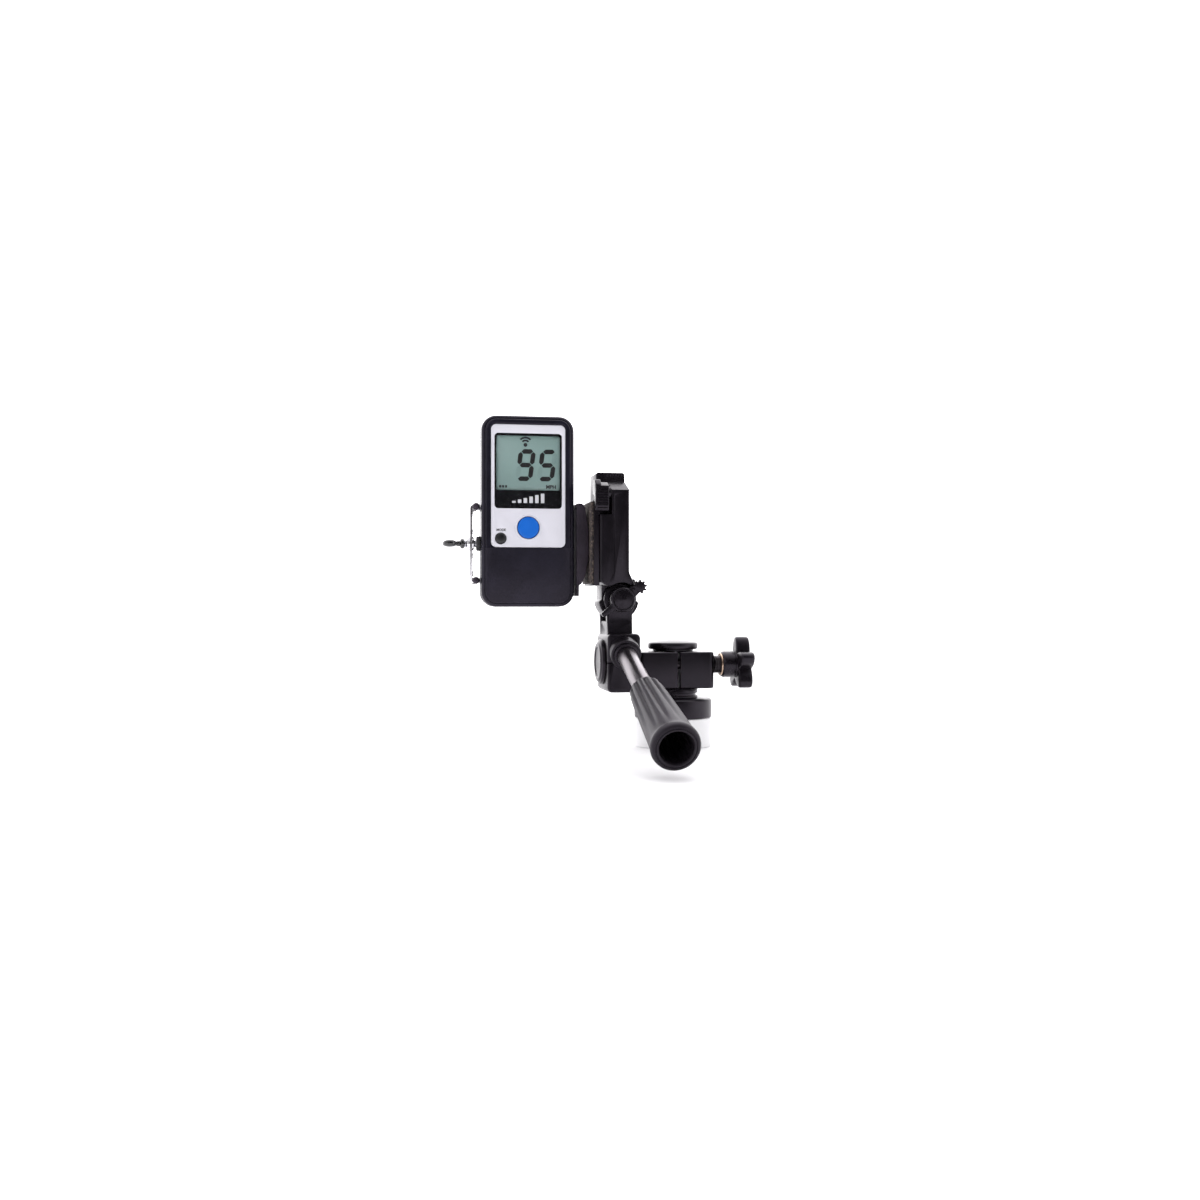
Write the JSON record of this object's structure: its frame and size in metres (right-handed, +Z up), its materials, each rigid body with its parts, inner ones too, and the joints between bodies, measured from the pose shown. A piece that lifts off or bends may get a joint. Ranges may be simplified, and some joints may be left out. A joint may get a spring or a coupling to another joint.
{
  "type": "speed radar gun",
  "caption": "Pocket speed radar with numeric display and push buttons, held by a screw clamp on a pan and tilt head with a long handle.",
  "frame": {"origin": "centre of the mounting face under the pan base, on the pan axis", "axes": "+Z up along the pan axis, away from the tripod; -Y toward the user, the way the display faces; +X to the user's right"},
  "size_m": [0.1937, 0.1874, 0.2035],
  "materials": {
    "housing_plastic": "fine-textured black moulded plastic",
    "radome_plastic": "fine-textured black plastic antenna cover",
    "label": "smooth white label",
    "window": "clear window, black border behind it",
    "lcd": "grey-green liquid crystal display",
    "segments": "dark display segments",
    "carrier": "white moulded plastic",
    "elastomer": "soft conductive rubber strips",
    "blue_key": "satin blue silicone rubber",
    "black_key": "satin black silicone rubber",
    "board": "green fibreglass circuit board",
    "chip": "moulded black chip packages",
    "tin": "tinned sheet steel",
    "spring_steel": "bright spring steel",
    "contact": "brass pins",
    "cell": "plain green battery sleeve over steel",
    "screw": "blackened steel screws",
    "clamp_plastic": "satin black moulded plastic",
    "clamp_rubber": "soft black rubber",
    "insert_brass": "machined brass",
    "rod_steel": "black-chromed steel rod",
    "chrome": "bright chrome plate",
    "stem_steel": "dark chrome plate",
    "paddle_gloss": "glossy black plastic",
    "head_plastic": "satin black glass-filled plastic",
    "cork": "grey-brown cork rubber",
    "camera_screw_steel": "turned steel",
    "lever_plastic": "satin black plastic with ribs",
    "bolt_steel": "zinc-plated steel",
    "handle_metal": "semi-gloss dark grey paint",
    "grip_rubber": "ribbed black rubber",
    "knob_plastic": "satin black plastic",
    "spindle_steel": "turned steel"
  },
  "bodies": {
    "base": {"pan_base": "head_plastic", "tripod_insert": "insert_brass", "spindle": "spindle_steel", "friction_ring": "knob_plastic", "top_cap": "knob_plastic"},
    "pan_head": {"pan_arm": "head_plastic", "tilt_shaft": "spindle_steel"},
    "pan_lock": {"pan_knob": "knob_plastic", "pan_lock_screw": "bolt_steel", "knob_washer": "insert_brass"},
    "tilt_head": {"tilt_block": "head_plastic", "tilt_cap": "knob_plastic", "handle_socket": "knob_plastic", "flip_bolt": "bolt_steel", "flip_nut": "bolt_steel"},
    "pan_handle": {"handle_rod": "handle_metal", "handle_grip": "grip_rubber"},
    "flip_lock": {"flip_lever": "lever_plastic"},
    "platform": {"platform_body": "head_plastic", "quick_plate": "head_plastic", "cork_pad": "cork", "camera_screw": "camera_screw_steel", "latch_pin": "bolt_steel", "latch_spring": "spring_steel"},
    "latch": {"latch_lever": "lever_plastic"},
    "clamped_unit": {"clamp_jaw": "clamp_plastic", "jaw_insert": "insert_brass", "jaw_pad": "clamp_rubber", "guide_rods": "rod_steel", "rod_sleeves": "clamp_rubber", "end_brackets": "clamp_plastic", "bridge_strap": "chrome", "clamp_nut": "chrome", "front_housing": "housing_plastic", "back_housing": "housing_plastic", "radome": "radome_plastic", "face_label": "label", "display_window": "window", "lcd_panel": "lcd", "lcd_segments": "segments", "lcd_carrier": "carrier", "zebra_strips": "elastomer", "dome_switches": "spring_steel", "main_board": "board", "board_chips": "chip", "shield_can": "tin", "antenna_board": "board", "board_header": "contact", "batteries": "cell", "battery_springs": "spring_steel", "battery_contacts": "spring_steel", "housing_screws": "screw"},
    "main_key": {"main_button": "blue_key"},
    "mode_key": {"mode_button": "black_key"},
    "battery_cover": {"battery_door": "housing_plastic"},
    "clamp_foot": {"pressure_pad": "clamp_rubber"},
    "clamp_drive": {"clamp_screw": "stem_steel", "screw_handle": "paddle_gloss"}
  },
  "joints": [
    {"name": "pan_turn", "type": "hinge", "parent": "base", "child": "pan_head", "pos_m": [0, 0, 0.03], "axis": [0, 0, 1], "continuous": true},
    {"name": "pan_lock_turn", "type": "hinge", "parent": "pan_head", "child": "pan_lock", "pos_m": [0.03, -0.013, 0.034], "axis": [1, 0, 0], "range_deg": [-180, 180]},
    {"name": "tilt", "type": "hinge", "parent": "pan_head", "child": "tilt_head", "pos_m": [-0.0355, 0, 0.0355], "axis": [1, 0, 0], "range_deg": [-35, 75]},
    {"name": "handle_twist", "type": "hinge", "parent": "tilt_head", "child": "pan_handle", "pos_m": [-0.0352, -0.02, 0.042], "axis": [0, -0.9537, -0.3007], "range_deg": [-90, 90]},
    {"name": "flip_lock_turn", "type": "hinge", "parent": "tilt_head", "child": "flip_lock", "pos_m": [-0.037, -0.02, 0.075], "axis": [0, 1, 0], "range_deg": [-90, 90]},
    {"name": "flip", "type": "hinge", "parent": "tilt_head", "child": "platform", "pos_m": [-0.037, 0, 0.075], "axis": [0, 1, 0], "range_deg": [0, 90]},
    {"name": "latch_swing", "type": "hinge", "parent": "platform", "child": "latch", "pos_m": [-0.047, -0.016, 0.1416], "axis": [-1, 0, 0], "range_deg": [0, 70], "stiffness_Nm_per_rad": 0.02, "springref_deg": -22.92},
    {"name": "unit_swivel", "type": "hinge", "parent": "platform", "child": "clamped_unit", "pos_m": [-0.058, 0, 0.11], "axis": [1, 0, 0], "range_deg": [-90, 90]},
    {"name": "main_button_press", "type": "slide", "parent": "clamped_unit", "child": "main_key", "axis": [0, 1, 0], "range_m": [0, 0.0004], "stiffness_N_per_m": 1000, "springref_m": -0.0006},
    {"name": "mode_button_press", "type": "slide", "parent": "clamped_unit", "child": "mode_key", "axis": [0, 1, 0], "range_m": [0, 0.0004], "stiffness_N_per_m": 800, "springref_m": -0.0006},
    {"name": "battery_door_slide", "type": "slide", "parent": "clamped_unit", "child": "battery_cover", "axis": [0, 0, -1], "range_m": [0, 0.012]},
    {"name": "clamp_foot_slide", "type": "slide", "parent": "clamped_unit", "child": "clamp_foot", "axis": [1, 0, 0], "range_m": [-0.0012, 0]},
    {"name": "clamp_screw_turn", "type": "hinge", "parent": "clamp_foot", "child": "clamp_drive", "pos_m": [-0.135, 0, 0.11], "axis": [1, 0, 0], "range_deg": [-540, 0]}
  ],
  "couplings": [
    {"joint": "clamp_screw_turn", "follows": "clamp_foot_slide", "rad_per_m": 7854}
  ]
}
